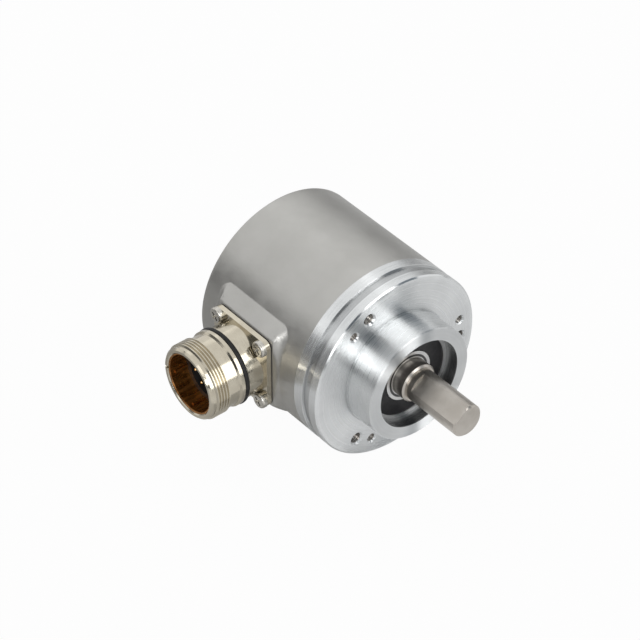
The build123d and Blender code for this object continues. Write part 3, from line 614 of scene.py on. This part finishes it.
for x, fixed in outline:
    for angle in angles:
        r = wall_r + boss_height(angle, x) if fixed is None else fixed
        points.append((x, -r * cos(angle), r * sin(angle)))
skin = object_from("cast_cover_skin", points, rings_joined(len(outline), len(angles)))
print("faces in the skin:", len(skin.data.polygons))

# %% [markdown]
# ## Holes in the cover
# The cover needs its window for the connector, four tapped holes for the plate and three
# countersunk holes at the back. Each cutter is a small turned body, so one helper makes them all
# from a profile, and a boolean takes them out of the skin in one step.

# %% A body from a profile
def turned_body(name, profile, along, place, sides=48):
    """A body turned about an axis through place, from (distance along the axis, radius) pairs."""
    axis = Vector(along)
    across = axis.orthogonal().normalized()
    upright = axis.cross(across)
    ring_points = []
    for far, r in profile:
        for k in range(sides):
            bend = 2 * pi * k / sides
            spoke = across * cos(bend) + upright * sin(bend)
            spot = Vector(place) + axis * far + spoke * r
            ring_points.append(tuple(spot))
    return object_from(name, ring_points, rings_joined(len(profile), sides))


def on_circle(x, r, clock_deg):
    """A place at x, at a radius from the shaft axis and a clock angle from +Y towards +Z."""
    return (x, r * cos(radians(clock_deg)), r * sin(radians(clock_deg)))


print("a place 10 mm out at 90 degrees:", [round(v, 6) for v in on_circle(0, 10, 90)])

# %% Turn the cutters
inwards = (0, 1, 0)
window_r = 9.3
window_depth = 9
window_y = -32
window_sides = 96
tap_r = 1.2
tap_depth = 8.5
tap_offset = 9.4
tap_y = -33
tap_sides = 24
sink_r = 3.75
shank_r = 1.5
sink_depth = sink_r - shank_r
shank_depth = 4.5
back_screws_x = -52.2
back_screws_r = 23.0


def bar(r, length):
    """The profile of a plain round bar."""
    return [(0, 0), (0, r), (length, r), (length, 0)]


window_spot = (boss_x, window_y, 0)
window = bar(window_r, window_depth)
cutters = [turned_body("cut_window", window, inwards, window_spot, window_sides)]
for x_side in (1, -1):
    for z_side in (1, -1):
        spot = (boss_x + x_side * tap_offset, tap_y, z_side * tap_offset)
        cutters.append(turned_body("cut_tap", bar(tap_r, tap_depth), inwards, spot, tap_sides))
sink = [(0, 0), (0, sink_r), (sink_depth, shank_r), (shank_depth, shank_r), (shank_depth, 0)]
for clock_deg in (90, 210, 330):
    spot = on_circle(back_screws_x, back_screws_r, clock_deg)
    cutters.append(turned_body("cut_sink", sink, (1, 0, 0), spot))
print("cutters turned:", len(cutters))

# %% Cut the holes and put the cover on
cover_crease_deg = 32
work = bmesh.new()
for cutter in cutters:
    work.from_mesh(cutter.data)
    bpy.data.objects.remove(cutter)
all_cuts = bpy.data.meshes.new("all_cuts")
work.to_mesh(all_cuts)
work.free()
all_cutters = bpy.data.objects.new("all_cutters", all_cuts)
bpy.context.scene.collection.objects.link(all_cutters)
cut = skin.modifiers.new("holes", "BOOLEAN")
cut.operation = "DIFFERENCE"
cut.solver = "EXACT"
cut.object = all_cutters
bpy.context.view_layer.update()
drilled = skin.evaluated_get(bpy.context.evaluated_depsgraph_get())
cover_mesh = bpy.data.meshes.new_from_object(drilled)
bpy.data.objects.remove(skin)
bpy.data.objects.remove(all_cutters)
cover = bpy.data.objects.new("cast_cover", cover_mesh)
bpy.context.scene.collection.objects.link(cover)
cover_mesh.shade_smooth()
cover_mesh.set_sharp_from_angle(angle=radians(cover_crease_deg))
cover_mesh.materials.clear()
cover_mesh.materials.append(coated)
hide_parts("housing")
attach(cover, "stator")
print("faces in the cover:", len(cover_mesh.polygons))

# %% [markdown]
# ## Threads in the fixing holes
# The tapped holes of the solid are smooth, as drawings have them. On the real flange the light
# falls on the thread inside. A thread this small reads as a stack of ridges, so each hole gets a
# turned sleeve with one ridge for each turn of the thread.

# %% Line the fixing holes
hole_circle_r = 24.0
m4_clock_deg = 114.3
m3_clock_deg = 129.3
m4_core_r = 1.65
m3_core_r = 1.25
m4_pitch = 0.7
m3_pitch = 0.5
thread_start_x = -0.55
thread_depth = 5.4
ridge_height = 0.22
ridge_crease_deg = 30
wall_bite = 0.03
root_gap = 0.005
sleeve_sides = 32


def thread_sleeve(name, core_r, pitch, clock_deg):
    """A sleeve just outside the hole's wall, with ridges that stand into the hole."""
    seat_r = core_r + wall_bite
    root_r = seat_r - root_gap
    profile = [(0.0, seat_r)]
    far = 0.0
    while far < thread_depth:
        profile += [(far + pitch * 0.5, core_r - ridge_height), (far + pitch, root_r)]
        far += pitch
    profile += [(far + pitch * 0.1, seat_r), (0.0, seat_r)]
    spot = on_circle(thread_start_x, hole_circle_r, clock_deg)
    sleeve = turned_body(name, profile, (-1, 0, 0), spot, sleeve_sides)
    sleeve.data.shade_smooth()
    sleeve.data.set_sharp_from_angle(angle=radians(ridge_crease_deg))
    sleeve.data.materials.append(tapped)
    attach(sleeve, "stator")


for third in (0, 120, 240):
    thread_sleeve("m4_thread_%d" % third, m4_core_r, m4_pitch, m4_clock_deg + third)
    thread_sleeve("m3_thread_%d" % third, m3_core_r, m3_pitch, m3_clock_deg + third)
print("threads lined: 6")

# %% [markdown]
# ## Which solid has which finish
# The solids keep their shape, so dressing them means putting a finish in their material slots.

# %% Dress the solids
finishes = {
    "flange": turned, "disc_hub": turned, "disc_clamp_ring": turned,
    "housing": coated,
    "shaft": ground,
    "front_outer_ring": lapped, "front_inner_ring": lapped,
    "rear_outer_ring": lapped, "rear_inner_ring": lapped,
    "front_balls": polished, "rear_balls": polished,
    "front_cage": cage_natural, "rear_cage": cage_natural,
    "front_seals": seal_rubber, "rear_seals": seal_rubber, "connector_gasket": seal_rubber,
    "housing_seal": ring_rubber, "connector_o_ring": ring_rubber,
    "wave_spring": spring, "circlip": spring,
    "code_disc": etched,
    "hub_grub_screw": plated, "housing_screws": plated, "connector_screws": plated,
    "board_screws": plated,
    "housing_posts": brass, "front_pillars": brass, "rear_pillars": brass,
    "connector_shell": nickel,
    "connector_liner": bronze,
    "connector_insert": insulator,
    "contact_pins": gold,
    "solder_board": board_green, "sensor_board": board_green, "output_board": board_green,
    "lamp_bracket": bracket_black, "board_header": bracket_black,
    "lamp": red_lens,
    "sensor_chip": chip_black, "board_components": chip_black,
    "reticle": mask_glass,
    "flex_ribbon": amber_film,
}
for name, finish in finishes.items():
    for slot in solids[name].material_slots:
        slot.material = finish
print("solids dressed:", len(finishes), "of", len(solids))

# %% [markdown]
# ## Floor, light and background
# The product lies on white paper in soft light from large lamps. The paper keeps the shadow, but
# what the camera sees of it is lifted to nearly white, because a product picture is printed on
# white. Reflections get only a little of that lift, so that the metal's underside stays darker.

# %% Lay the floor
def square(half_x, half_y, z=0.0):
    """The four corners of a level rectangle about the origin."""
    return [(-half_x, -half_y, z), (half_x, -half_y, z), (half_x, half_y, z), (-half_x, half_y, z)]


floor_gap = 0.00002
floor_reach = 3.0
floor_z = solid_box[0][2] - floor_gap
floor_mesh = bpy.data.meshes.new("floor")
floor_mesh.from_pydata(square(floor_reach, floor_reach, floor_z), [], [(0, 1, 2, 3)])
floor = bpy.data.objects.new("floor", floor_mesh)
bpy.context.scene.collection.objects.link(floor)
print("floor at z in mm:", round(floor_z * MM, 2))

# %% Make the white paper
seen_share = {"Is Camera Ray": 0.965, "Is Glossy Ray": 0.14, "Is Transmission Ray": 0.93}
paper = bpy.data.materials.new("white_paper")
paper.use_nodes = True
paper_nodes = paper.node_tree.nodes
paper_links = paper.node_tree.links
paper_shader = paper_nodes["Principled BSDF"]
paper_shader.inputs["Base Color"].default_value = (0.90, 0.90, 0.90, 1.0)
paper_shader.inputs["Roughness"].default_value = 0.9
paper_shader.inputs["Specular IOR Level"].default_value = 0.0
paper_glow = paper_nodes.new("ShaderNodeEmission")
paper_glow.inputs["Strength"].default_value = 1.0
paper_path = paper_nodes.new("ShaderNodeLightPath")
lift = None
for ray, share in seen_share.items():
    part = paper_nodes.new("ShaderNodeMath")
    part.operation = "MULTIPLY_ADD"
    part.inputs[1].default_value = share
    part.inputs[2].default_value = 0.0
    paper_links.new(paper_path.outputs[ray], part.inputs[0])
    if lift is not None:
        paper_links.new(lift.outputs["Value"], part.inputs[2])
    lift = part
paper_mix = paper_nodes.new("ShaderNodeMixShader")
paper_links.new(lift.outputs["Value"], paper_mix.inputs["Fac"])
paper_links.new(paper_shader.outputs["BSDF"], paper_mix.inputs[1])
paper_links.new(paper_glow.outputs["Emission"], paper_mix.inputs[2])
paper_links.new(paper_mix.outputs["Shader"], paper_nodes["Material Output"].inputs["Surface"])
floor.data.materials.append(paper)
print("finish:", paper.name)

# %% Hang the lamps
def softbox(name, place, size, power):
    """A large lamp that points at the origin and lights dull surfaces only."""
    lamp_data = bpy.data.lights.new(name, "AREA")
    lamp_data.shape = "RECTANGLE"
    lamp_data.size = size[0]
    lamp_data.size_y = size[1]
    lamp_data.energy = power
    lamp = bpy.data.objects.new(name, lamp_data)
    bpy.context.scene.collection.objects.link(lamp)
    look = -Vector(place)
    lamp.matrix_world = Matrix.Translation(place) @ look.to_track_quat("-Z", "Y").to_matrix().to_4x4()
    lamp.visible_camera = False
    lamp.visible_glossy = False


softbox("lamp_top", (-0.44, 0.04, 0.60), (0.70, 0.55), 1.2)
softbox("lamp_right", (0.59, 0.37, 0.29), (0.40, 0.40), 0.85)
softbox("lamp_front", (0.47, -0.55, 0.26), (0.22, 0.22), 0.40)
print("lamps hung: 3")

# %% [markdown]
# ## Cards round the product
# Bare metal only looks like metal when it has something to mirror. A photographer hangs grey
# and white cards just outside the picture for that, and so does this lesson. The bands on the
# round surfaces show where the real cards stood: dim ones low behind and at the left, brighter
# ones on the floor at the right and in front, and a narrow one overhead. The cards show in
# mirrored light only, so they leave the dull surfaces alone.

# %% Make a card
plain_white = (1.0, 1.0, 1.0)


def glowing(name, shade, tint):
    """A finish of one even brightness."""
    finish = bpy.data.materials.new(name)
    finish.use_nodes = True
    glow = finish.node_tree.nodes.new("ShaderNodeEmission")
    glow.inputs["Color"].default_value = (*tint, 1.0)
    glow.inputs["Strength"].default_value = shade
    finish.node_tree.links.new(glow.outputs["Emission"],
                               finish.node_tree.nodes["Material Output"].inputs["Surface"])
    return finish


def hang(name, corners, faces, where, finish):
    """Puts a card in the studio where only mirrored light sees it."""
    mesh = bpy.data.meshes.new(name)
    mesh.from_pydata(corners, [], faces)
    mesh.materials.append(finish)
    piece = bpy.data.objects.new(name, mesh)
    bpy.context.scene.collection.objects.link(piece)
    piece.matrix_world = where
    piece.visible_camera = False
    piece.visible_diffuse = False
    piece.visible_shadow = False


def card(name, place, aim, size, shade):
    """A flat card at a place, turned to what it aims at."""
    look = Vector(aim) - Vector(place)
    where = Matrix.Translation(place) @ look.to_track_quat("Z", "Y").to_matrix().to_4x4()
    corners = square(size[0] / 2, size[1] / 2)
    hang(name, corners, [(0, 1, 2, 3)], where, glowing(name, shade, plain_white))


print("corners of a card of 200 by 100 mm:", square(0.1, 0.05))

# %% Hang the cards
low = floor_z + 0.001
middle = (0, 0, 0.02)
card("card_behind", (-0.35, 0.49, 0.06), middle, (0.60, 0.30), 0.36)
card("card_left", (-0.35, -0.48, 0.10), middle, (0.40, 0.30), 0.16)
card("card_floor_left", (-0.26, -0.24, low), (-0.26, -0.24, 1), (0.42, 0.44), 0.42)
card("card_floor_right", (0.245, 0.09, low), (0.245, 0.09, 1), (0.48, 0.62), 0.80)
card("card_floor_front", (0.22, -0.29, low), (0.22, -0.29, 1), (0.36, 0.40), 0.9)
card("strip_top", (-0.26, 0.135, 0.62), middle, (0.11, 0.90), 1.25)
print("cards hung: 6")

# %% [markdown]
# ## Bands that the turned metal shows
# On a turned face each point spreads its mirror image along the radius, so a card does not show as
# a patch but as a band that fans out from the axis. The camera sees such a card by way of a normal
# that leans from the axis towards one clock angle. The same sum, run backwards, tells where a
# card must hang to show up at that clock angle, and that is how these cards are placed. One more
# flat card, small and very bright, stands beside the camera for the sharp highlights.

# %% Bend a card
def mirrored(clock_deg, lean_deg):
    """The direction that the camera sees in a surface whose normal leans from +X to an angle."""
    clock = radians(clock_deg)
    lean = radians(lean_deg)
    normal = Vector((cos(lean), sin(lean) * cos(clock), sin(lean) * sin(clock)))
    return normal * (2.0 * normal.dot(back)) - back


cool_tint = (0.80, 0.92, 1.04)
fan_distance = 0.8


def fan_card(name, clock_from, clock_to, lean_from, lean_to, shade):
    """A bent card that shows as a band between two clock angles. Dark ones are a little cool."""
    steps = 6
    corners = []
    for i in range(steps + 1):
        for j in range(steps + 1):
            clock = clock_from + (clock_to - clock_from) * i / steps
            lean = lean_from + (lean_to - lean_from) * j / steps
            corners.append(mirrored(clock, lean) * fan_distance)
    faces = []
    for i in range(steps):
        for j in range(steps):
            a = i * (steps + 1) + j
            faces.append((a, a + 1, a + steps + 2, a + steps + 1))
    tint = cool_tint if shade < 1.0 else plain_white
    hang(name, corners, faces, Matrix.Identity(4), glowing(name, shade, tint))


print("mirrored at 90 degrees, leaning 45:", [round(v, 3) for v in mirrored(90, 45)])

# %% Hang the cards of the fan
fan_card("fan_dark_top", 75, 89, 18, 74, 0.24)
fan_card("fan_bright_top", 92, 112, 26, 50, 3.4)
fan_card("fan_dim", 116, 129, 18, 74, 0.15)
fan_card("fan_bright_left", 130, 142, 20, 74, 1.9)
fan_card("fan_dark_left", 144, 160, 18, 74, 0.05)
fan_card("fan_dark_low", 170, 176, 18, 66, 0.10)
print("fan cards hung: 6")

# %% Hang the bright card beside the camera
card("card_front", (0.42, -0.60, 0.26), middle, (0.26, 0.34), 6.0)
print("card hung: 1, for the connector and the corner of the boss")

# %% [markdown]
# ## The sky round the set
# What no lamp or card covers is the studio's white walls. They fill the shadows only softly, but
# the camera and the mirrored light see them as pure white, so the sky has two strengths.

# %% Light the world
fill_strength = 0.38
seen_strength = 1.0
world = bpy.data.worlds.new("studio")
bpy.context.scene.world = world
world.use_nodes = True
world_nodes = world.node_tree.nodes
world_links = world.node_tree.links
world_fill = world_nodes["Background"]
world_fill.inputs["Color"].default_value = (*plain_white, 1.0)
world_fill.inputs["Strength"].default_value = fill_strength
world_white = world_nodes.new("ShaderNodeBackground")
world_white.inputs["Color"].default_value = (*plain_white, 1.0)
world_white.inputs["Strength"].default_value = seen_strength
world_path = world_nodes.new("ShaderNodeLightPath")
world_mix = world_nodes.new("ShaderNodeMixShader")
world_seen = world_nodes.new("ShaderNodeMath")
world_seen.operation = "MAXIMUM"
world_seen_too = world_nodes.new("ShaderNodeMath")
world_seen_too.operation = "MAXIMUM"
world_links.new(world_path.outputs["Is Camera Ray"], world_seen.inputs[0])
world_links.new(world_path.outputs["Is Glossy Ray"], world_seen.inputs[1])
world_links.new(world_seen.outputs["Value"], world_seen_too.inputs[0])
world_links.new(world_path.outputs["Is Transmission Ray"], world_seen_too.inputs[1])
world_links.new(world_seen_too.outputs["Value"], world_mix.inputs["Fac"])
world_links.new(world_fill.outputs["Background"], world_mix.inputs[1])
world_links.new(world_white.outputs["Background"], world_mix.inputs[2])
world_links.new(world_mix.outputs["Shader"], world_nodes["World Output"].inputs["Surface"])
print("world strength:", fill_strength, "for dull light,", seen_strength, "for what is seen")
